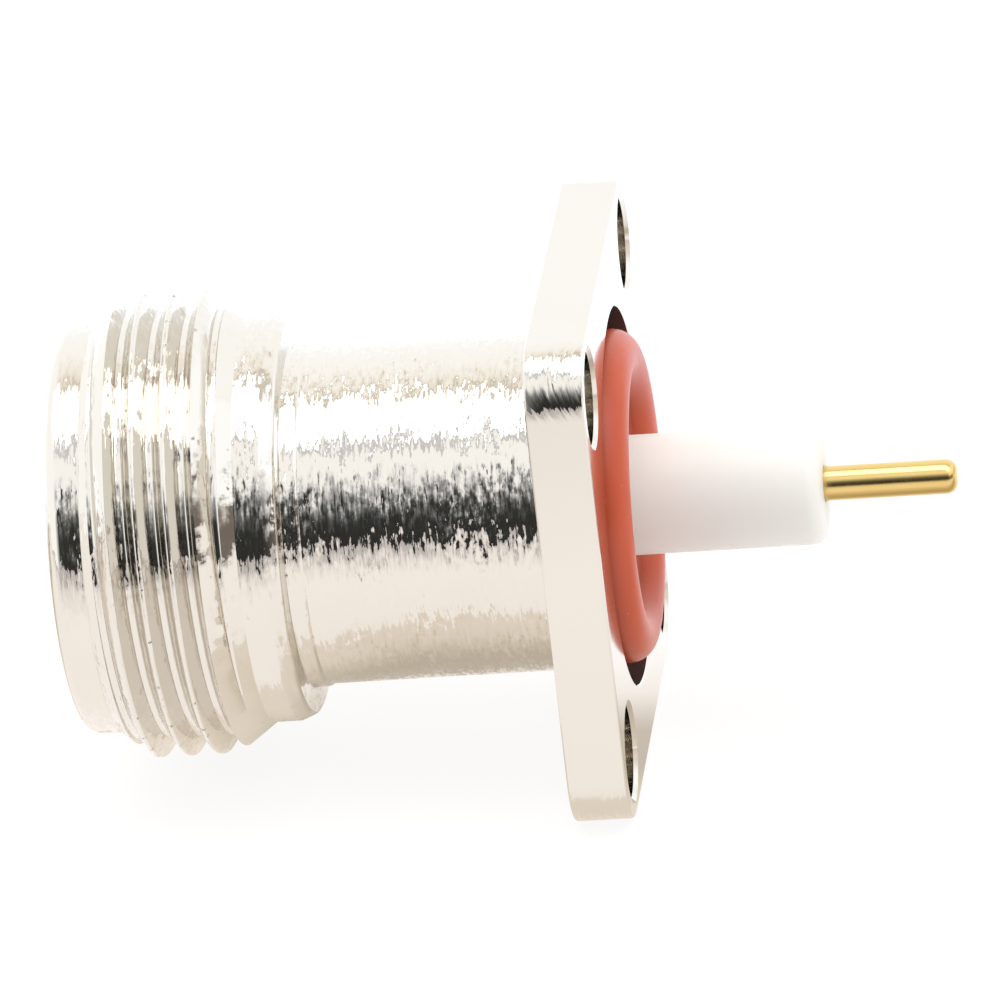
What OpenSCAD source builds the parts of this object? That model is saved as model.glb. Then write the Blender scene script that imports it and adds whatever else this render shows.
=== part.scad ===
// Panel-mount coaxial jack: one-piece threaded body with a square four-hole
// flange, a stepped dielectric, a slotted centre contact with a solder pin and
// a panel sealing ring. Millimetres. +X runs along the connector axis from the
// mating end to the solder pin, +Z is up. The origin is the centre of the
// flange's panel face.

/* [Flange] */
// side of the square flange
flange_side = 17.3; // [17.2:0.1:18.5]
// thickness of the flange
flange_thickness = 2.0; // [1.9:0.1:2.6]
// radius of the flange's corners
flange_corner_r = 2.0; // [0.8:0.1:2.2]
// small chamfer round the flange's edges
flange_edge_break = 0.12; // [0.05:0.01:0.2]
// distance from the flange's side to the middle of a mounting hole
hole_inset = 2.175; // [2.125:0.025:2.3]
// diameter of the mounting holes
hole_d = 3.2; // [2.8:0.1:3.4]
// small chamfer at each end of a mounting hole
hole_edge_break = 0.14; // [0.04:0.01:0.15]

/* [Barrel] */
// diameter of the plain barrel
barrel_d = 11.52; // [11:0.02:12]
// length of the barrel between the flange and the collar
barrel_length = 9.0; // [7:0.1:14]
// diameter of the short land where the barrel meets the collar
land_d = 11.68; // [11.6:0.02:12.2]
// length of that land
land_length = 0.55; // [0.3:0.05:1]
// fillet between the barrel and the flange
flange_fillet_r = 0.25; // [0.1:0.05:0.4]

/* [Collar] */
// diameter of the smooth collar behind the thread
collar_d = 13.9; // [13:0.1:14.4]
// length of the collar with its rear chamfer
collar_length = 1.4; // [1:0.1:3]
// how far the collar's rear chamfer runs along the axis
collar_chamfer_x = 0.48; // [0.2:0.02:0.6]
// how far the collar's rear chamfer runs in from its rim
collar_chamfer_r = 0.2; // [0.1:0.02:0.4]

/* [Coupling thread] */
// major diameter of the coupling thread
thread_d = 15.84; // [15.6:0.02:15.88]
// threads in one inch
threads_per_inch = 24; // [24:1:24]
// length of the threaded section with both its chamfers
thread_length = 5.2; // [5:0.1:8]
// angle of the chamfer that leads into the thread from the nose
lead_angle = 41; // [35:1:50]
// angle of the chamfer that ends the thread at the collar
runout_angle = 36; // [30:1:50]
// where on the axis a crest crosses the +Y side, from the thread's rear end
crest_offset = -3.65; // [-3.7:0.01:-2.7]
// facets of the thread in one turn
thread_facets = 40; // [32:4:48]

/* [Nose] */
// diameter of the plain nose in front of the thread
nose_d = 14.0; // [13.8:0.1:14.2]
// length of the plain nose
nose_length = 1.2; // [1:0.1:3]
// radius of the nose's front edge
nose_edge_r = 0.5; // [0.2:0.05:0.8]

/* [Mating cavity] */
// diameter of the cavity the mating plug enters
cavity_d = 8.1; // [8.04:0.01:8.12]
// depth of the cavity from the front edge to the mating plane
cavity_depth = 9.1; // [9.04:0.01:9.18]
// lead-in chamfer at the cavity's mouth
cavity_chamfer = 0.35; // [0.1:0.05:0.6]

/* [Dielectric] */
// diameter of the bore that holds the dielectric
dielectric_bore_d = 7.0; // [6.9:0.1:7.1]
// how far the dielectric's front face lies behind the mating plane
dielectric_recess = 0.15; // [0.05:0.05:0.3]
// thickness of the wall the dielectric's tail passes through
rear_wall = 3.0; // [2.2:0.1:4]
// diameter of the dielectric's tail
tail_d = 4.06; // [3.9:0.02:4.2]
// length of the tail beyond the panel face
tail_length = 6.7; // [3:0.1:15]
// radius of the tail's end edge
tail_edge_r = 0.5; // [0.1:0.05:0.6]

/* [Centre contact] */
// diameter of the contact's socket
socket_d = 3.04; // [3:0.02:3.1]
// how far the socket stands forward of the mating plane
socket_reach = 5.0; // [4.8:0.05:5.2]
// bore of the socket
socket_bore_d = 1.65; // [1.6:0.01:1.68]
// depth of the socket's bore
socket_bore_depth = 4.8; // [4:0.1:5.5]
// width of the slots between the socket's four fingers
slot_width = 0.25; // [0.2:0.01:0.3]
// length of the slots
slot_length = 4.2; // [3:0.1:4.5]
// diameter of the contact inside the dielectric
stem_d = 2.1; // [1.8:0.1:2.4]
// diameter of the solder pin
pin_d = 1.18; // [1:0.02:1.3]
// length of the solder pin beyond the dielectric
pin_length = 4.5; // [2:0.1:8]
// radius of the solder pin's end edge
pin_edge_r = 0.4; // [0.1:0.05:0.45]

/* [Sealing ring] */
// wall left between the ring's groove and a mounting hole
groove_wall = 1.157; // [1.057:0.05:1.257]
// thickness of the sealing ring's round section
ring_section = 1.78; // [1.6:0.02:1.8]
// gap between the sealing ring and the groove's outer wall
ring_gap = 0.75; // [0.6:0.05:0.8]
// how far the ring stands out of the panel face
ring_stand = 0.67; // [0.4:0.01:0.8]

/* [Hidden] */
$fn = 96;
// gap left between two pieces that fit together, on each side
fit = 0.01;
// how far a cutting shape runs past the solid it cuts
over = 0.5;
thread_pitch = 25.4 / threads_per_inch;
thread_depth = 0.6134 * thread_pitch;
thread_r = thread_d / 2;
thread_root_r = thread_r - thread_depth;
crest_flat = thread_pitch / 8;
root_flat = thread_pitch - crest_flat - 2 * thread_depth * tan(30);
x_flange_front = -flange_thickness;
x_collar_rear = x_flange_front - barrel_length;
x_thread_rear = x_collar_rear - collar_length;
x_thread_front = x_thread_rear - thread_length;
x_front = x_thread_front - nose_length;
x_plane = x_front + cavity_depth;
x_dielectric = x_plane + dielectric_recess;
x_socket = x_plane - socket_reach;
x_shoulder = -rear_wall;
x_pin_end = tail_length + pin_length;
lead_x = (thread_r - nose_d / 2) / tan(lead_angle);
runout_x = (thread_r - collar_d / 2) / tan(runout_angle);
hole_spacing = flange_side - 2 * hole_inset;
groove_d = sqrt(2) * hole_spacing - hole_d - 2 * groove_wall;
ring_bore = groove_d - 2 * (ring_gap + ring_section);
ring_r = ring_bore / 2 + ring_section / 2;
x_ring = ring_stand - ring_section / 2;
groove_depth = ring_section - ring_stand + fit;
boss_d = ring_bore - 2 * fit;

// turn a profile of [radius, axial position] points about the connector axis
module turned(points) {
    rotate([0, 90, 0])
        rotate_extrude()
            polygon(points);
}

// a round bar or hole along the connector axis
module bar(d, x0, x1) {
    translate([x0, 0, 0])
        rotate([0, 90, 0])
            cylinder(h = x1 - x0, d = d);
}

// an arc of profile points about [r, x], from angle a to angle b
function arc(r, x, radius, a, b, steps = 6) =
    [for (i = [0:steps]) let (t = a + (b - a) * i / steps)
        [r + radius * cos(t), x + radius * sin(t)]];

// one point of the thread: k counts facets along the helix, j the profile
function thread_point(k, j) =
    let (
        turn = k / thread_facets,
        a = 360 * turn,
        half = crest_flat / 2,
        base = half + thread_depth * tan(30),
        dx = j == 0 ? -base : j == 1 ? -half : j == 2 ? half : base,
        r = (j == 0 || j == 3) ? thread_root_r : thread_r,
        x = x_thread_rear + crest_offset + thread_pitch * (turn - 3) + dx
    )
    [x, r * cos(a), r * sin(a)];

// a screw blank with a right-hand helical thread, closed at both ends
module screw_blank() {
    n = thread_facets;
    turns = 9;
    total = n * turns;
    points = concat(
        [for (k = [0:total]) for (j = [0:3]) thread_point(k, j)],
        [[thread_point(0, 0)[0] - thread_pitch, 0, 0]],
        [[thread_point(total, 3)[0] + thread_pitch, 0, 0]]);
    front = 4 * (total + 1);
    rear = front + 1;
    flanks = [for (k = [0:total - 1]) for (j = [0:2]) each [
        [4 * k + j, 4 * k + j + 1, 4 * k + 4 + j + 1],
        [4 * k + j, 4 * k + 4 + j + 1, 4 * k + 4 + j]]];
    roots = [for (k = [0:total - n - 1]) each [
        [4 * k + 3, 4 * (k + n), 4 * (k + n + 1)],
        [4 * k + 3, 4 * (k + n + 1), 4 * k + 7]]];
    front_cap = concat(
        [for (k = [0:n - 1]) [front, 4 * k, 4 * k + 4]],
        [[front, 4 * n, 3], [front, 3, 2], [front, 2, 1], [front, 1, 0]]);
    rear_cap = concat(
        [for (k = [total - n:total - 1]) [rear, 4 * k + 7, 4 * k + 3]],
        [[rear, 4 * (total - n) + 3, 4 * total],
         [rear, 4 * total, 4 * total + 1],
         [rear, 4 * total + 1, 4 * total + 2],
         [rear, 4 * total + 2, 4 * total + 3]]);
    polyhedron(points, concat(flanks, roots, front_cap, rear_cap), convexity = 10);
}

// the screw blank trimmed to the threaded section and its two chamfers
module coupling_thread() {
    intersection() {
        screw_blank();
        turned([
            [0, x_thread_front],
            [nose_d / 2, x_thread_front],
            [thread_r + 0.05, x_thread_front + lead_x + 0.05 / tan(lead_angle)],
            [thread_r + 0.05, x_thread_rear - runout_x - 0.05 / tan(runout_angle)],
            [collar_d / 2, x_thread_rear],
            [0, x_thread_rear]]);
    }
}

// the plain turned outside of the body, from the nose to the flange
module turned_outside() {
    turned(concat(
        [[0, x_front]],
        arc(nose_d / 2 - nose_edge_r, x_front + nose_edge_r, nose_edge_r, -90, 0),
        [[nose_d / 2, x_thread_front],
         [nose_d / 2 - 0.2, x_thread_front + 0.2],
         [nose_d / 2 - 0.2, x_thread_rear - 0.2],
         [collar_d / 2, x_thread_rear],
         [collar_d / 2, x_collar_rear - collar_chamfer_x],
         [collar_d / 2 - collar_chamfer_r, x_collar_rear],
         [land_d / 2, x_collar_rear],
         [land_d / 2, x_collar_rear + land_length],
         [barrel_d / 2, x_collar_rear + land_length + 0.1],
         [barrel_d / 2, x_flange_front - flange_fillet_r],
         [barrel_d / 2 + flange_fillet_r, x_flange_front],
         [barrel_d / 2 + flange_fillet_r, x_flange_front + 0.5],
         [0, x_flange_front + 0.5]]));
}

// a chamfered strip of the flange, seen along its length
module strip(length) {
    h = flange_side / 2;
    b = flange_edge_break;
    linear_extrude(height = length, center = true)
        polygon([
            [-flange_thickness, b - h],
            [b - flange_thickness, -h],
            [-b, -h],
            [0, b - h],
            [0, h - b],
            [-b, h],
            [b - flange_thickness, h],
            [-flange_thickness, h - b]]);
}

// square flange with round corners and a narrow chamfer on both faces
module flange() {
    c = flange_side / 2 - flange_corner_r;
    r = flange_corner_r;
    b = flange_edge_break;
    strip(2 * c);
    rotate([90, 0, 0])
        strip(2 * c);
    for (sy = [-1, 1], sz = [-1, 1])
        translate([0, sy * c, sz * c])
            turned([
                [0, -flange_thickness],
                [r - b, -flange_thickness],
                [r, b - flange_thickness],
                [r, -b],
                [r - b, 0],
                [0, 0]]);
}

// one mounting hole with its two edge breaks
module mounting_hole() {
    b = hole_edge_break;
    bar(hole_d, x_flange_front - over, over);
    for (end = [0, 1])
        mirror([end, 0, 0])
            translate([end ? flange_thickness : 0, 0, 0])
                turned([
                    [0, -b - 0.01],
                    [hole_d / 2 - 0.01, -b - 0.01],
                    [hole_d / 2 + b + 0.01, 0.01],
                    [0, 0.01]]);
}

// the annular groove that holds the sealing ring
module seal_groove() {
    difference() {
        bar(groove_d, -groove_depth, over);
        bar(boss_d, -groove_depth - over, 2 * over);
    }
}

// the stepped bore through the body
module body_bore() {
    turned([
        [0, x_front - over],
        [cavity_d / 2 + cavity_chamfer + over, x_front - over],
        [cavity_d / 2, x_front + cavity_chamfer],
        [cavity_d / 2, x_plane],
        [dielectric_bore_d / 2, x_plane],
        [dielectric_bore_d / 2, x_shoulder],
        [tail_d / 2 + fit, x_shoulder],
        [tail_d / 2 + fit, over],
        [0, over]]);
}

// one-piece nickel-plated body
module body() {
    color([0.85, 0.83, 0.79])
        difference() {
            union() {
                turned_outside();
                coupling_thread();
                flange();
            }
            body_bore();
            seal_groove();
            for (sy = [-1, 1], sz = [-1, 1])
                translate([0, sy * hole_spacing / 2, sz * hole_spacing / 2])
                    mounting_hole();
        }
}

// white dielectric: a head inside the body and a tail beyond the panel face
module dielectric() {
    color([0.94, 0.94, 0.92])
        difference() {
            turned(concat(
                [[0, x_dielectric],
                 [dielectric_bore_d / 2 - fit, x_dielectric],
                 [dielectric_bore_d / 2 - fit, x_shoulder - fit],
                 [tail_d / 2, x_shoulder - fit]],
                arc(tail_d / 2 - tail_edge_r, tail_length - tail_edge_r, tail_edge_r, 0, 90),
                [[0, tail_length]]));
            bar(stem_d + 2 * fit, x_dielectric - over, x_shoulder);
            bar(pin_d + 2 * fit, x_shoulder - over, tail_length + over);
        }
}

// gold-plated centre contact: slotted socket, stem and solder pin in one
module contact() {
    color([0.93, 0.74, 0.36])
        difference() {
            turned(concat(
                [[0, x_socket],
                 [socket_d / 2 - 0.2, x_socket],
                 [socket_d / 2, x_socket + 0.2],
                 [socket_d / 2, x_dielectric - fit],
                 [stem_d / 2, x_dielectric - fit],
                 [stem_d / 2, x_shoulder - fit],
                 [pin_d / 2, x_shoulder - fit]],
                arc(pin_d / 2 - pin_edge_r, x_pin_end - pin_edge_r, pin_edge_r, 0, 90, 8),
                [[0, x_pin_end]]));
            bar(socket_bore_d, x_socket - over, x_socket + socket_bore_depth);
            turned([
                [0, x_socket - 0.1],
                [socket_bore_d / 2 + 0.3, x_socket - 0.1],
                [socket_bore_d / 2, x_socket + 0.2],
                [0, x_socket + 0.2]]);
            for (turn = [0, 90])
                rotate([turn, 0, 0])
                    translate([x_socket - over, -slot_width / 2, -socket_d])
                        cube([slot_length + over, slot_width, 2 * socket_d]);
        }
}

// red rubber sealing ring in the panel face's groove
module seal_ring() {
    color([0.72, 0.25, 0.16])
        translate([x_ring, 0, 0])
            rotate([0, 90, 0])
                rotate_extrude()
                    translate([ring_r, 0])
                        circle(d = ring_section);
}

body();
dielectric();
contact();
seal_ring();
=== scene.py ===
import math
import bmesh
import bpy
from mathutils import Matrix, Vector


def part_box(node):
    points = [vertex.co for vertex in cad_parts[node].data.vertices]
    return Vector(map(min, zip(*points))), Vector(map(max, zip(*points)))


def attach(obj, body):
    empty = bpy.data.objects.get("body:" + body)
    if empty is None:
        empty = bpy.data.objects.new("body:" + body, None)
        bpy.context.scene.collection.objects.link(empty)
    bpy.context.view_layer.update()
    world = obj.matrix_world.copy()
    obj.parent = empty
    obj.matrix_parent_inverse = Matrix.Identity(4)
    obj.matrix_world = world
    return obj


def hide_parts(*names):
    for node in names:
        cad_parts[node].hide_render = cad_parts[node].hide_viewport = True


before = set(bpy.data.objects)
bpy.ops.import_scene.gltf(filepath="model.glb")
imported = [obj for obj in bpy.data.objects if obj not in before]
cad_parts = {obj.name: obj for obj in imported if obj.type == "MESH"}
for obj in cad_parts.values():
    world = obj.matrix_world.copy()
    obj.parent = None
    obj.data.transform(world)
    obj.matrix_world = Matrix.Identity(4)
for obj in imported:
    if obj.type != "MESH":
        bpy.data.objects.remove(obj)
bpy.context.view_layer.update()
bpy.ops.object.select_all(action="DESELECT")

# ---------------------------------------------------------------- sizes
MM = 0.001
body_low, body_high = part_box("body")
tail_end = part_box("dielectric")[1].x
dielectric_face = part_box("dielectric")[0].x
socket_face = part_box("contact")[0].x
pin_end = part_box("contact")[1].x
ring_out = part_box("seal_ring")[1]

FRONT = body_low.x
PANEL = body_high.x
FLANGE_HALF = body_high.y
FLANGE_FRONT = -2.0 * MM
FLANGE_CORNER = 2.0 * MM
FLANGE_CORNER_FROM = 11.0 * MM
FLANGE_BREAK = 0.12 * MM
HOLE_OFFSET = 6.475 * MM
HOLE_R = 1.6 * MM
HOLE_BREAK = 0.14 * MM
BARREL_R = 5.76 * MM
LAND_R = 5.84 * MM
COLLAR_R = 6.95 * MM
COLLAR_REAR = -11.0 * MM
COLLAR_BEVEL = 0.48 * MM
LAND_LENGTH = 0.5 * MM
BARREL_FILLET = 0.25 * MM
THREAD_REAR = -12.4 * MM
THREAD_FRONT = -17.6 * MM
THREAD_R = 7.92 * MM
PITCH = 25.4 / 24 * MM
THREAD_DEPTH = 0.6134 * PITCH
CREST_AT = THREAD_REAR - 3.65 * MM + PITCH / 4
LEAD = math.radians(41)
RUNOUT = math.radians(36)
NOSE_R = 7.0 * MM
NOSE_EDGE = 0.5 * MM
CORE_R = NOSE_R - 0.2 * MM
CAVITY_R = 4.05 * MM
MATING_PLANE = FRONT + 9.1 * MM
HEAD_R = 3.5 * MM
SHOULDER = -3.0 * MM
TAIL_R = 2.03 * MM
SOCKET_R = 1.52 * MM
SOCKET_BORE_R = 0.825 * MM
SOCKET_BORE_DEPTH = 4.8 * MM
SLOT_LENGTH = 4.2 * MM
SLOT_WIDTH = 0.25 * MM
STEM_R = 1.05 * MM
PIN_R = 0.59 * MM
PIN_EDGE = 0.4 * MM
GROOVE_R = 6.4 * MM
GROOVE_DEPTH = 1.12 * MM
BOSS_R = 3.86 * MM
RING_SECTION_R = 0.89 * MM
FIT = 0.01 * MM
OVER = 0.5 * MM
ROUND = 192


# ------------------------------------------------------------- modelling
def only(piece):
    """Make one piece the only selected and active one."""
    bpy.ops.object.select_all(action="DESELECT")
    piece.select_set(True)
    bpy.context.view_layer.objects.active = piece


def named(name):
    """Name the piece that was just added, in object mode."""
    piece = bpy.context.object
    piece.name = name
    piece.data.name = name
    return piece


def arc(radius_at, x_at, radius, first, last, steps=5):
    """Profile points (radius, x) on an arc; 0 degrees points outwards, 90 to +X."""
    points = []
    for i in range(steps + 1):
        turn = math.radians(first + (last - first) * i / steps)
        points.append((radius_at + radius * math.cos(turn), x_at + radius * math.sin(turn)))
    return points


def draw_line(name, points):
    """Draw a profile of (radius, x) points as a chain of edges; stays in edit mode."""
    bpy.ops.object.select_all(action="DESELECT")
    bpy.ops.mesh.primitive_plane_add(size=MM, location=(0, 0, 0))
    piece = named(name)
    bpy.ops.object.mode_set(mode="EDIT")
    bpy.ops.mesh.select_mode(type="VERT")
    bpy.ops.mesh.select_all(action="SELECT")
    bpy.ops.mesh.merge(type="CENTER")
    bpy.ops.mesh.select_all(action="SELECT")
    here = Vector((points[0][1], 0, points[0][0]))
    bpy.ops.transform.translate(value=here)
    for radius, x in points[1:]:
        there = Vector((x, 0, radius))
        bpy.ops.mesh.extrude_region_move(TRANSFORM_OT_translate={"value": there - here})
        here = there
    bpy.ops.mesh.select_all(action="SELECT")
    return piece


def close_up():
    """Merge doubles, turn all faces outwards and leave edit mode."""
    bpy.ops.mesh.select_all(action="SELECT")
    bpy.ops.mesh.remove_doubles(threshold=0.0005 * MM)
    bpy.ops.mesh.dissolve_degenerate(threshold=0.0004 * MM)
    bpy.ops.mesh.select_all(action="SELECT")
    bpy.ops.mesh.normals_make_consistent(inside=False)
    bpy.ops.mesh.select_all(action="DESELECT")
    bpy.ops.object.mode_set(mode="OBJECT")


def turned(name, points, steps=ROUND):
    """Spin a profile once round the connector axis."""
    piece = draw_line(name, points)
    bpy.ops.mesh.spin(steps=steps, angle=math.tau, center=(0, 0, 0), axis=(1, 0, 0))
    close_up()
    return piece


def combine(piece, other, operation):
    """Join, cut or trim a piece with another solid, which is used up."""
    only(piece)
    step = piece.modifiers.new("cut", "BOOLEAN")
    step.operation = operation
    step.solver = "MANIFOLD"
    step.object = other
    bpy.ops.object.modifier_apply(modifier=step.name)
    bpy.data.objects.remove(other)
    return piece


def finish_piece(piece, angle, material):
    """Smooth, dress and hand a piece to the frame."""
    only(piece)
    bpy.ops.object.transform_apply(location=True, rotation=True, scale=True)
    bpy.ops.object.shade_smooth_by_angle(angle=math.radians(angle))
    weigh = piece.modifiers.new("weigh", "WEIGHTED_NORMAL")
    weigh.mode = "FACE_AREA"
    weigh.weight = 100
    weigh.keep_sharp = True
    bpy.ops.object.modifier_apply(modifier=weigh.name)
    piece.data.materials.clear()
    piece.data.materials.append(material)
    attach(piece, "root")
    piece.select_set(False)
    return piece


# ------------------------------------------------------------- materials
# colour of the nickel, and the gain that makes its surroundings show in their own colours
NICKEL = (0.70, 0.665, 0.605)
METAL_GAIN = tuple(0.99 / v for v in NICKEL)


class Value:
    """A shader socket that can be used in sums."""

    def __init__(self, board, socket):
        self.board = board
        self.socket = socket

    def _do(self, operation, *values, **settings):
        return self.board.node("ShaderNodeMath", {"operation": operation, **settings},
                               dict(enumerate(values)))

    def __add__(self, other):
        return self._do("ADD", self, other)

    def __radd__(self, other):
        return self._do("ADD", other, self)

    def __sub__(self, other):
        return self._do("SUBTRACT", self, other)

    def __rsub__(self, other):
        return self._do("SUBTRACT", other, self)

    def __mul__(self, other):
        return self._do("MULTIPLY", self, other)

    def __rmul__(self, other):
        return self._do("MULTIPLY", other, self)

    def __truediv__(self, other):
        return self._do("DIVIDE", self, other)

    def __rtruediv__(self, other):
        return self._do("DIVIDE", other, self)

    def __neg__(self):
        return self._do("MULTIPLY", self, -1.0)

    def clamp(self):
        return self._do("ADD", self, 0.0, use_clamp=True)

    def bigger(self, other):
        return self._do("MAXIMUM", self, other)

    def root(self):
        return self._do("SQRT", self)

    def angle_from(self, other):
        return self._do("ARCTAN2", self, other)

    def between(self, low, high, soft=False):
        """0 below low, 1 above high, straight or smooth in between."""
        kind = "SMOOTHSTEP" if soft else "LINEAR"
        return self.board.node("ShaderNodeMapRange",
                               {"interpolation_type": kind, "clamp": True},
                               {"Value": self, "From Min": low, "From Max": high,
                                "To Min": 0.0, "To Max": 1.0}, "Result")


class Board:
    """The node tree of one material or of the world."""

    def __init__(self, owner, output="ShaderNodeOutputMaterial"):
        owner.use_nodes = True
        self.tree = owner.node_tree
        self.tree.nodes.clear()
        self.output = output

    def node(self, kind, settings, inputs, output=0):
        """Add a node: its settings first, then the values or links of its sockets."""
        made = self.tree.nodes.new(kind)
        for key, value in settings.items():
            if key == "stops":
                self.set_stops(made.color_ramp, value)
            else:
                setattr(made, key, value)
        for key, value in inputs.items():
            socket = made.inputs[key]
            if isinstance(value, Value):
                self.tree.links.new(value.socket, socket)
            elif socket.type == "RGBA":
                socket.default_value = (*value, 1.0)
            elif value is not None:
                socket.default_value = value
        return Value(self, made.outputs[output]) if made.outputs else None

    def set_stops(self, ramp, stops):
        while len(ramp.elements) < len(stops):
            ramp.elements.new(0.5)
        for element, (place, colour) in zip(ramp.elements, stops):
            element.position = place
            element.color = (*colour, 1.0)

    def point(self):
        """Object coordinates, in metres."""
        return self.node("ShaderNodeTexCoord", {}, {}, "Object")

    def parts(self, vector):
        """The three parts of a vector."""
        return [self.node("ShaderNodeSeparateXYZ", {}, {0: vector}, axis) for axis in "XYZ"]

    def ray(self, kind):
        """1 for a ray of one kind, such as Camera or Glossy."""
        return self.node("ShaderNodeLightPath", {}, {}, f"Is {kind} Ray")

    def vector(self, x, y, z):
        return self.node("ShaderNodeCombineXYZ", {}, {0: x, 1: y, 2: z})

    def noise(self, vector, scale, detail, rough):
        return self.node("ShaderNodeTexNoise", {"noise_dimensions": "3D"},
                         {"Vector": vector, "Scale": scale, "Detail": detail,
                          "Roughness": rough}, "Fac")

    def mix(self, factor, first, second, blend="MIX"):
        return self.node("ShaderNodeMix", {"data_type": "RGBA", "blend_type": blend},
                         {0: factor, 6: first, 7: second}, 2)

    def times(self, colour, gain):
        """A colour times a plain colour."""
        return self.mix(1.0, colour, gain, "MULTIPLY")

    def add(self, first, second):
        return self.node("ShaderNodeVectorMath", {"operation": "ADD"}, {0: first, 1: second})

    def unit(self, vector):
        return self.node("ShaderNodeVectorMath", {"operation": "NORMALIZE"}, {0: vector})

    def bump(self, height, distance, strength, normal=None):
        return self.node("ShaderNodeBump", {},
                         {"Height": height, "Distance": distance, "Strength": strength,
                          "Normal": normal}, "Normal")

    def surface(self, constants, linked):
        self.show(self.node("ShaderNodeBsdfPrincipled", {}, {**constants, **linked}))

    def show(self, shader):
        self.node(self.output, {}, {"Surface": shader})


def nickel_plate():
    """Bright nickel plate on turned brass: lathe streaks, small dents, worn crests and painted shade
    in the seal-ring recess.
    """
    material = bpy.data.materials.new("nickel_plate")
    board = Board(material)
    point = board.point()
    x, y, z = board.parts(point)
    radius = (y * y + z * z).root().bigger(0.1 * MM)
    unit_y, unit_z = y / radius, z / radius
    along = (x + radius) * 1000.0

    def streaks(fine, short, detail, rough):
        """Noise drawn out round the axis: fine across, short round it."""
        place = board.vector(along * fine, unit_y * short, unit_z * short)
        return board.noise(place, 1.0, detail, rough)

    turned_part = 1.0 - x.between(FLANGE_FRONT - 0.05 * MM, FLANGE_FRONT + 0.05 * MM)
    corner = radius.between(FLANGE_CORNER_FROM - 0.2 * MM, FLANGE_CORNER_FROM)
    crest = radius.between(THREAD_R - 0.12 * MM, THREAD_R - 0.02 * MM)
    crest = crest * (1.0 - x.between(COLLAR_REAR - 0.1 * MM, COLLAR_REAR))
    groove_floor = PANEL - GROOVE_DEPTH
    # painted shade: mask of the seal-ring recess, whose walls and floor are darkened and made rougher
    # where shade falls
    painted_shade_recess = (1.0 - x.between(-0.12 * MM, -0.04 * MM))
    painted_shade_recess = painted_shade_recess * x.between(groove_floor - 0.18 * MM, groove_floor - 0.08 * MM)
    painted_shade_recess = painted_shade_recess * radius.between(BOSS_R - 0.06 * MM, BOSS_R - 0.02 * MM)
    painted_shade_recess = painted_shade_recess * (1.0 - radius.between(GROOVE_R + 0.02 * MM, GROOVE_R + 0.06 * MM))
    haze = board.noise(point, 420.0, 4.0, 0.6)
    patches = board.noise(point, 650.0, 3.0, 0.6).between(0.34, 0.64, True)
    nicks = board.noise(point, 2300.0, 3.0, 0.6).between(0.63, 0.69) * crest
    tone = board.mix(haze, tuple(v * 0.985 for v in NICKEL), tuple(v * 1.015 for v in NICKEL))
    tone = board.mix(nicks * 0.7, tone, (0.22, 0.20, 0.18))
    # painted shade darkens the metal in the seal-ring recess
    tone = board.mix(painted_shade_recess * 0.8, tone, (0.15, 0.09, 0.08))
    lathe = streaks(9.0, 1.2, 3.0, 0.55)
    rough = 0.045 + haze * 0.04 + lathe * 0.03 + nicks * 0.3 + painted_shade_recess * 0.25

    # polishing marks tip the surface a few degrees round the axis
    brushed = streaks(9.0, 7.0, 3.0, 0.62) - 0.5
    dents = streaks(5.0, 16.0, 3.0, 0.6) - 0.5
    cuts = streaks(11.0, 13.0, 2.0, 0.5).between(0.60, 0.72, True)
    tip = brushed * 0.55 + dents * (0.25 + 0.5 * patches) + cuts * (0.10 + 0.14 * patches)
    tip = tip * (turned_part + corner).clamp() * (0.55 + 0.45 * patches)
    normal = board.node("ShaderNodeNewGeometry", {}, {}, "Normal")
    sideways = board.vector(0.0, -(unit_z * tip), unit_y * tip)
    normal = board.unit(board.add(normal, sideways))
    height = lathe * 0.3 * turned_part + haze * 0.5 - nicks * 2.5
    normal = board.bump(height, 0.008 * MM, 0.7, normal)
    board.surface({"Metallic": 1.0}, {"Base Color": tone, "Roughness": rough, "Normal": normal})
    return material


def gold_plate():
    """Bright gold plate on the centre contact."""
    material = bpy.data.materials.new("gold_plate")
    board = Board(material)
    point = board.point()
    x, y, z = board.parts(point)
    lines = board.noise(board.vector(x * 1000.0, y * 60.0, z * 60.0), 22.0, 3.0, 0.6)
    haze = board.noise(point, 900.0, 3.0, 0.6)
    tone = board.mix(haze, (0.69, 0.49, 0.17), (0.72, 0.54, 0.23))
    rough = 0.13 + lines * 0.08 + haze * 0.05
    normal = board.bump(lines + haze * 0.5, 0.003 * MM, 0.5)
    board.surface({"Metallic": 1.0}, {"Base Color": tone, "Roughness": rough, "Normal": normal})
    return material


def fluoropolymer():
    """White, waxy, slightly translucent dielectric with faint turning lines."""
    material = bpy.data.materials.new("white_fluoropolymer")
    board = Board(material)
    point = board.point()
    x, y, z = board.parts(point)
    lines = board.noise(board.vector(x * 1000.0, y * 80.0, z * 80.0), 8.0, 3.0, 0.6)
    cloud = board.noise(point, 500.0, 3.0, 0.55)
    tone = board.mix(cloud, (0.925, 0.92, 0.905), (0.95, 0.95, 0.94))
    rough = 0.36 + lines * 0.10 + cloud * 0.06
    normal = board.bump(lines * 0.6 + cloud * 0.4, 0.006 * MM, 0.5)
    board.surface({"Subsurface Weight": 0.35, "Subsurface Scale": 0.0008,
                   "Subsurface Radius": (1.0, 0.85, 0.75), "IOR": 1.36},
                  {"Base Color": tone, "Roughness": rough, "Normal": normal})
    return material


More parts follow.
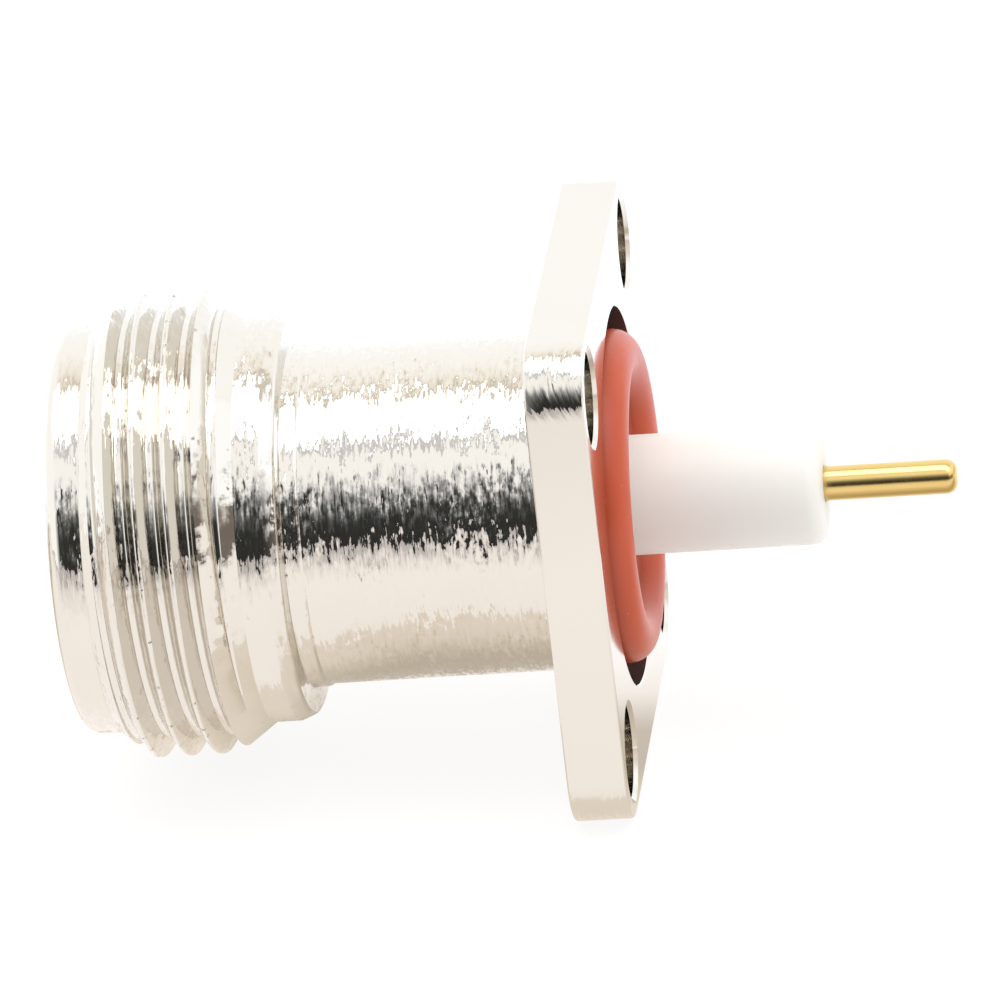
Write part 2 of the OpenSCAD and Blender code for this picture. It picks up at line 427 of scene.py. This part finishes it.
def silicone():
    """Brick-red silicone rubber with dust specks."""
    material = bpy.data.materials.new("red_silicone")
    board = Board(material)
    point = board.point()
    cloud = board.noise(point, 600.0, 3.0, 0.55)
    specks = board.noise(point, 5200.0, 2.0, 0.5).between(0.72, 0.80)
    fuzz = board.noise(point, 3000.0, 4.0, 0.6)
    tone = board.mix(cloud, (0.56, 0.088, 0.038), (0.63, 0.115, 0.052))
    tone = board.mix(specks * 0.6, tone, (0.80, 0.45, 0.36))
    rough = 0.30 + fuzz * 0.14
    normal = board.bump(fuzz * 0.6 + specks * 0.6, 0.008 * MM, 0.5)
    board.surface({"Subsurface Weight": 0.25, "Subsurface Scale": 0.0005,
                   "Subsurface Radius": (1.0, 0.3, 0.2), "IOR": 1.41},
                  {"Base Color": tone, "Roughness": rough, "Normal": normal})
    return material


nickel = nickel_plate()
gold = gold_plate()
white = fluoropolymer()
red = silicone()


# ------------------------------------------------------------------ body
def outside_profile():
    """Nose, a core under the thread, collar, land and barrel, up to the flange."""
    edge = 0.04 * MM
    step = 0.2 * MM
    points = [(0, FRONT)]
    points += arc(NOSE_R - NOSE_EDGE, FRONT + NOSE_EDGE, NOSE_EDGE, -90, 0, 8)
    points += [(NOSE_R, THREAD_FRONT), (CORE_R, THREAD_FRONT + step)]
    points += [(CORE_R, THREAD_REAR - step), (COLLAR_R, THREAD_REAR)]
    # the collar's rear edge: a long bevel that rounds into the land
    points += [(COLLAR_R, COLLAR_REAR - COLLAR_BEVEL - edge),
               (COLLAR_R - edge * 0.3, COLLAR_REAR - COLLAR_BEVEL),
               (COLLAR_R - 4 * edge, COLLAR_REAR - 3 * edge),
               (COLLAR_R - step, COLLAR_REAR - 0.05 * MM),
               (COLLAR_R - 0.27 * MM, COLLAR_REAR)]
    points += [(LAND_R + 3 * edge, COLLAR_REAR), (LAND_R + 0.03 * MM, COLLAR_REAR + 0.03 * MM),
               (LAND_R, COLLAR_REAR + 3 * edge), (LAND_R, COLLAR_REAR + LAND_LENGTH)]
    points += [(LAND_R - 0.02 * MM, COLLAR_REAR + LAND_LENGTH + 0.06 * MM),
               (BARREL_R + 0.01 * MM, COLLAR_REAR + LAND_LENGTH + 0.12 * MM),
               (BARREL_R, COLLAR_REAR + LAND_LENGTH + step)]
    points += arc(BARREL_R + BARREL_FILLET, FLANGE_FRONT - BARREL_FILLET, BARREL_FILLET, 180, 90, 5)
    points += [(BARREL_R + BARREL_FILLET, FLANGE_FRONT + OVER), (0, FLANGE_FRONT + OVER)]
    return points


def flange_plate():
    """Square plate with round corners and finely broken edges."""
    bpy.ops.object.select_all(action="DESELECT")
    middle = (PANEL + FLANGE_FRONT) / 2
    bpy.ops.mesh.primitive_cube_add(size=1, location=(middle, 0, 0),
                                    scale=(PANEL - FLANGE_FRONT, 2 * FLANGE_HALF, 2 * FLANGE_HALF))
    plate = named("flange_plate")
    bpy.ops.object.transform_apply(location=True, rotation=True, scale=True)
    bpy.ops.object.mode_set(mode="EDIT")
    bpy.ops.mesh.select_mode(type="EDGE")
    mesh = bmesh.from_edit_mesh(plate.data)
    for edge in mesh.edges:
        a, b = (v.co for v in edge.verts)
        edge.select_set(abs(a.x - b.x) > 0.5 * MM)
    bmesh.update_edit_mesh(plate.data)
    bpy.ops.mesh.bevel(offset=FLANGE_CORNER, offset_type="OFFSET", segments=14, affect="EDGES")
    mesh = bmesh.from_edit_mesh(plate.data)
    for edge in mesh.edges:
        a, b = (v.co for v in edge.verts)
        edge.select_set(abs(a.x - b.x) < 0.01 * MM)
    bmesh.update_edit_mesh(plate.data)
    bpy.ops.mesh.bevel(offset=FLANGE_BREAK, offset_type="OFFSET", segments=3, affect="EDGES")
    close_up()
    return plate


def thread_rib(turns=9):
    """A right-hand screw blank, longer than the thread and closed at both ends."""
    half_crest = PITCH / 16
    slope = math.tan(math.radians(30))
    tip, foot = THREAD_R, THREAD_R - THREAD_DEPTH
    base = half_crest + THREAD_DEPTH * slope
    ease = 0.05 * MM
    x = CREST_AT - 3 * PITCH
    half = [(foot, PITCH / 2), (foot, base + ease * 0.6), (foot + ease * 0.45, base - ease * 0.45),
            (tip - ease * 1.3, half_crest + ease * 1.3 * slope),
            (tip - ease * 0.45, half_crest + ease * 0.1), (tip, half_crest - ease * 0.7)]
    points = [(radius, x - away) for radius, away in half]
    points += [(radius, x + away) for radius, away in reversed(half)]
    rib = draw_line("thread_rib", points)
    bpy.ops.object.mode_set(mode="OBJECT")
    only(rib)
    wind = rib.modifiers.new("wind", "SCREW")
    wind.axis = "X"
    wind.angle = math.tau
    wind.screw_offset = PITCH
    wind.iterations = turns
    wind.steps = ROUND
    wind.render_steps = ROUND
    bpy.ops.object.modifier_apply(modifier=wind.name)
    bpy.ops.object.mode_set(mode="EDIT")
    bpy.ops.mesh.select_mode(type="VERT")
    bpy.ops.mesh.select_all(action="SELECT")
    bpy.ops.mesh.remove_doubles(threshold=0.0005 * MM)
    middle = x + turns * PITCH / 2
    for side in (-1, 1):
        bpy.ops.mesh.select_all(action="DESELECT")
        mesh = bmesh.from_edit_mesh(rib.data)
        for edge in mesh.edges:
            if edge.is_boundary and (edge.verts[0].co.x - middle) * side > 0:
                edge.select_set(True)
        bmesh.update_edit_mesh(rib.data)
        bpy.ops.mesh.extrude_edges_move(TRANSFORM_OT_translate={"value": (side * PITCH, 0, 0)})
        bpy.ops.mesh.merge(type="CENTER")
    close_up()
    return rib


def thread_limits():
    """The plain turned shape that the thread is trimmed to."""
    above = THREAD_R + 0.05 * MM
    lead = (above - NOSE_R) / math.tan(LEAD)
    runout = (above - COLLAR_R) / math.tan(RUNOUT)
    return turned("thread_limits", [
        (0, THREAD_FRONT), (NOSE_R, THREAD_FRONT), (above, THREAD_FRONT + lead),
        (above, THREAD_REAR - runout), (COLLAR_R, THREAD_REAR), (0, THREAD_REAR)])


def bore_cutter():
    """Mating cavity with its lead-in, and the stepped bore that holds the dielectric."""
    lead = 0.35 * MM
    brk = 0.05 * MM
    bore_r = TAIL_R + FIT
    return turned("bore_cutter", [
        (0, FRONT - OVER), (CAVITY_R + lead + OVER, FRONT - OVER), (CAVITY_R, FRONT + lead),
        (CAVITY_R, MATING_PLANE), (HEAD_R, MATING_PLANE), (HEAD_R, SHOULDER), (bore_r, SHOULDER),
        (bore_r, PANEL - brk), (bore_r + brk + OVER, PANEL + OVER), (0, PANEL + OVER)], 128)


def groove_cutter():
    """Groove for the sealing ring, with broken edges and a rounded outer corner."""
    brk = 0.05 * MM
    over = 0.3 * MM
    floor = PANEL - GROOVE_DEPTH
    inner_top = (BOSS_R - brk - over, PANEL + over)
    return turned("groove_cutter", [
        inner_top, (BOSS_R - brk, PANEL), (BOSS_R, PANEL - brk), (BOSS_R, floor),
        (GROOVE_R - 0.12 * MM, floor), (GROOVE_R - 0.03 * MM, floor + 0.03 * MM),
        (GROOVE_R, floor + 0.12 * MM), (GROOVE_R, PANEL - brk), (GROOVE_R + brk, PANEL),
        (GROOVE_R + brk + over, PANEL + over), inner_top])


def hole_cutter(side_y, side_z):
    """One screw hole with both edges broken."""
    over = 0.3 * MM
    broken_r = HOLE_R + HOLE_BREAK
    cutter = turned("hole_cutter", [
        (0, FLANGE_FRONT - over), (broken_r + over, FLANGE_FRONT - over), (broken_r, FLANGE_FRONT),
        (HOLE_R, FLANGE_FRONT + HOLE_BREAK), (HOLE_R, PANEL - HOLE_BREAK), (broken_r, PANEL),
        (broken_r + over, PANEL + over), (0, PANEL + over)], 96)
    only(cutter)
    bpy.ops.transform.translate(value=(0, side_y * HOLE_OFFSET, side_z * HOLE_OFFSET))
    bpy.ops.object.transform_apply(location=True, rotation=True, scale=True)
    return cutter


shell = turned("connector_body", outside_profile())
shell = combine(shell, flange_plate(), "UNION")
thread = combine(thread_rib(), thread_limits(), "INTERSECT")
shell = combine(shell, thread, "UNION")
shell = combine(shell, bore_cutter(), "DIFFERENCE")
shell = combine(shell, groove_cutter(), "DIFFERENCE")
for side_y in (-1, 1):
    for side_z in (-1, 1):
        shell = combine(shell, hole_cutter(side_y, side_z), "DIFFERENCE")
finish_piece(shell, 28, nickel)
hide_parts("body")


# ------------------------------------------------------------ dielectric
def dielectric_profile():
    """Half section of the sleeve: head, tail with a rounded end, and the bore through it."""
    brk = 0.06 * MM
    mouth = 0.04 * MM
    round_end = 0.5 * MM
    head_r, head_rear = HEAD_R - FIT, SHOULDER - FIT
    stem_r, pin_r = STEM_R + FIT, PIN_R + FIT
    points = [(stem_r, dielectric_face), (head_r - brk, dielectric_face),
              (head_r, dielectric_face + brk), (head_r, head_rear), (TAIL_R, head_rear)]
    points += arc(TAIL_R - round_end, tail_end - round_end, round_end, 0, 90, 7)
    points += [(pin_r + mouth, tail_end), (pin_r, tail_end - mouth), (pin_r, SHOULDER),
               (stem_r, SHOULDER), (stem_r, dielectric_face)]
    return points


insulator = turned("dielectric_sleeve", dielectric_profile(), 144)
finish_piece(insulator, 30, white)
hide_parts("dielectric")


# --------------------------------------------------------------- contact
def contact_profile():
    """Half section of the contact: drilled socket, stem and pin with a rounded end."""
    face_round = 0.2 * MM
    drill_point = 0.45 * MM
    drill = socket_face + SOCKET_BORE_DEPTH
    stem_end = SHOULDER - FIT
    points = [(0, drill + drill_point), (SOCKET_BORE_R, drill),
              (SOCKET_BORE_R, socket_face + face_round), (SOCKET_BORE_R + face_round, socket_face)]
    points += arc(SOCKET_R - face_round, socket_face + face_round, face_round, -90, 0, 5)
    points += [(SOCKET_R, dielectric_face - FIT), (STEM_R, dielectric_face - FIT),
               (STEM_R, stem_end), (PIN_R, stem_end)]
    points += arc(PIN_R - PIN_EDGE, pin_end - PIN_EDGE, PIN_EDGE, 0, 90, 10)
    points += [(0, pin_end)]
    return points


def slot_cutter(turn):
    """A thin plate across the socket, open at its face."""
    bpy.ops.object.select_all(action="DESELECT")
    ahead = OVER / 2
    bpy.ops.mesh.primitive_cube_add(
        size=1, location=(socket_face + SLOT_LENGTH / 2 - ahead, 0, 0),
        scale=(SLOT_LENGTH + 2 * ahead, SLOT_WIDTH, 4 * MM))
    cutter = named("slot_cutter")
    bpy.ops.transform.rotate(value=turn, orient_axis="X", center_override=(0, 0, 0))
    bpy.ops.object.transform_apply(location=True, rotation=True, scale=True)
    return cutter


centre = turned("centre_contact", contact_profile(), 96)
for turn in (0, math.pi / 2):
    centre = combine(centre, slot_cutter(turn), "DIFFERENCE")
finish_piece(centre, 30, gold)
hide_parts("contact")


# ------------------------------------------------------------ seal ring
def sealing_ring():
    """Round rubber ring with the faint mould line of its two halves."""
    centre_x = ring_out.x - RING_SECTION_R
    centre_r = ring_out.y - RING_SECTION_R
    flash = 0.006 * MM
    sides = 48
    points = []
    for i in range(sides + 1):
        turn = math.tau * i / sides
        radius = RING_SECTION_R if i % (sides // 2) == 0 else RING_SECTION_R - flash
        points.append((centre_r + radius * math.cos(turn), centre_x + radius * math.sin(turn)))
    return turned("panel_seal", points, 240)


seal = sealing_ring()
finish_piece(seal, 40, red)
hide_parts("seal_ring")


# ---------------------------------------------------------------- stage
def srgb(*display):
    """A display colour of 0 to 255 as linear light."""
    shares = (v / 255 for v in display)
    return tuple(v / 12.92 if v <= 0.04045 else ((v + 0.055) / 1.055) ** 2.4 for v in shares)


def ramp(board, value, low, high, stops):
    """A colour that runs through (place, colour) stops between two limits."""
    places = [((at - low) / (high - low), colour) for at, colour in stops]
    return board.node("ShaderNodeValToRGB", {"stops": places},
                      {"Fac": value.between(low, high)}, "Color")


def floor_material():
    """White to the viewer; the metal also sees a painted soft shadow of the object on it."""
    material = bpy.data.materials.new("pale_floor")
    board = Board(material)
    camera_ray, glossy_ray = board.ray("Camera"), board.ray("Glossy")
    x, y, _ = (part * 1000.0 for part in board.parts(board.point()))
    # the painted shadow lies further towards the viewer under the wider collar and nose
    away = 3.9 * (1.0 - x.between(-12, -8)) + 6.0 * (1.0 - x.between(-18, -13))
    painted_floor_shading = ramp(board, y - away, -140.0, 60.0, [
        (-135, srgb(190, 182, 174)), (-60, srgb(227, 218, 208)), (-30, srgb(243, 234, 224)),
        (-12.5, srgb(241, 232, 221)), (-10.2, srgb(238, 228, 217)), (-9.6, srgb(222, 209, 192)),
        (-6.8, srgb(217, 203, 184)), (-5.2, srgb(201, 188, 167)), (-3.2, srgb(182, 169, 150)),
        (0, srgb(184, 171, 153)), (3, srgb(226, 215, 202)), (8, srgb(240, 234, 226)),
        (16, srgb(250, 248, 244)), (30, srgb(255, 255, 254))])
    # glossy rays see the painted shading: the object's shadow below it, and darker far towards the
    # viewer; other rays see plain white
    seen = board.mix(glossy_ray, (1.06, 1.06, 1.06), board.times(painted_floor_shading, METAL_GAIN))
    diffuse = board.node("ShaderNodeBsdfDiffuse", {}, {"Color": (0.93, 0.92, 0.90)})
    glow = board.node("ShaderNodeEmission", {}, {"Color": seen, "Strength": 1.0})
    share = 0.5 + camera_ray * 0.32 + glossy_ray * 0.5
    both = board.node("ShaderNodeMixShader", {}, {0: share.clamp(), 1: diffuse, 2: glow})
    board.show(both)
    return material


bpy.ops.object.select_all(action="DESELECT")
bpy.ops.mesh.primitive_plane_add(size=6.0, location=(0, 0, body_low.z - 0.05 * MM))
floor = named("floor")
bpy.ops.object.transform_apply(location=True, rotation=True, scale=True)
floor.data.materials.append(floor_material())


def studio_world():
    """A pale tent round the object with a soft dark opening on the viewer's side."""
    world = bpy.data.worlds.new("studio")
    bpy.context.scene.world = world
    board = Board(world, "ShaderNodeOutputWorld")
    camera_ray, glossy_ray = board.ray("Camera"), board.ray("Glossy")
    dx, dy, dz = board.parts(board.node("ShaderNodeTexCoord", {}, {}, "Generated"))
    turn = dz.angle_from(dy) * (180 / math.pi)
    tent = ramp(board, turn, 0, 180, [
        (0, srgb(247, 245, 240)), (30, srgb(249, 245, 236)), (42, srgb(250, 246, 238)),
        (52, srgb(247, 241, 230)), (60, srgb(241, 232, 217)), (66, srgb(230, 219, 203)),
        (67.5, srgb(207, 195, 177)), (76, srgb(207, 195, 177)), (78, srgb(255, 255, 252)),
        (107, srgb(255, 255, 252)), (109, srgb(200, 195, 189)), (114, srgb(200, 195, 189)),
        (116, srgb(249, 244, 235)), (129, srgb(248, 243, 233)), (135, srgb(236, 231, 224)),
        (141, srgb(197, 193, 188)), (146, srgb(156, 154, 150)), (152, srgb(110, 109, 106)),
        (158, srgb(76, 76, 73)), (165, srgb(50, 50, 47)), (180, srgb(40, 38, 35))])
    tent = board.mix((-dx).between(0.28, 0.62, True), tent, srgb(251, 247, 239))
    low = 1.0 - dz.between(0.20, 0.40, True)
    facing = (-dy).between(0.05, 0.30, True)
    far_side = board.mix(low, srgb(255, 253, 248), srgb(222, 210, 192))
    far_side = board.mix(low * facing, far_side, srgb(112, 102, 92))
    tent = board.mix(dx.between(0.50, 0.78, True), tent, far_side)
    tent = board.mix(glossy_ray, board.times(tent, (1.15, 1.15, 1.15)), board.times(tent, METAL_GAIN))
    tent = board.mix(camera_ray, tent, (1.0, 1.0, 1.0))
    glow = board.node("ShaderNodeBackground", {}, {"Color": tent, "Strength": 1.0})
    board.show(glow)


def softbox(name, place, width, length, radiance):
    """A rectangular lamp that faces the origin, its length along X."""
    lamp = bpy.data.lights.new(name, "AREA")
    lamp.shape = "RECTANGLE"
    lamp.size = length
    lamp.size_y = width
    lamp.energy = radiance * math.pi * width * length
    holder = bpy.data.objects.new(name, lamp)
    bpy.context.scene.collection.objects.link(holder)
    aim = (-place).to_track_quat("-Z", "Y").to_matrix().to_4x4()
    holder.matrix_world = Matrix.Translation(place) @ aim


studio_world()
softbox("top_softbox", Vector((-0.006, -0.0175, 0.40)), width=0.219, length=0.80, radiance=2.0)


# --------------------------------------------------------------- camera
def look(azimuth, elevation, roll, distance, lens, target):
    """A camera that looks at a point from an azimuth and elevation, rolled about its view."""
    azimuth, elevation, roll = (math.radians(v) for v in (azimuth, elevation, roll))
    out = Vector((math.sin(azimuth) * math.cos(elevation),
                  -math.cos(azimuth) * math.cos(elevation), math.sin(elevation)))
    right = (-out).cross(Vector((0, 0, 1))).normalized()
    up = right.cross(-out)
    across = right * math.cos(roll) + up * math.sin(roll)
    upward = up * math.cos(roll) - right * math.sin(roll)
    place = target + out * distance
    camera = bpy.data.objects.new("camera", bpy.data.cameras.new("camera"))
    camera.matrix_world = Matrix((
        (across.x, upward.x, out.x, place.x),
        (across.y, upward.y, out.y, place.y),
        (across.z, upward.z, out.z, place.z),
        (0, 0, 0, 1)))
    camera.data.lens = lens
    camera.data.sensor_width = 36.0
    camera.data.clip_start = 0.01
    camera.data.clip_end = 20.0
    bpy.context.scene.collection.objects.link(camera)
    bpy.context.scene.camera = camera


look(azimuth=8.07, elevation=23.92, roll=-6.70, distance=0.400, lens=426.5,
     target=Vector((-4.332 * MM, 0, 0.109 * MM)))
bpy.context.scene.view_settings.view_transform = "Standard"
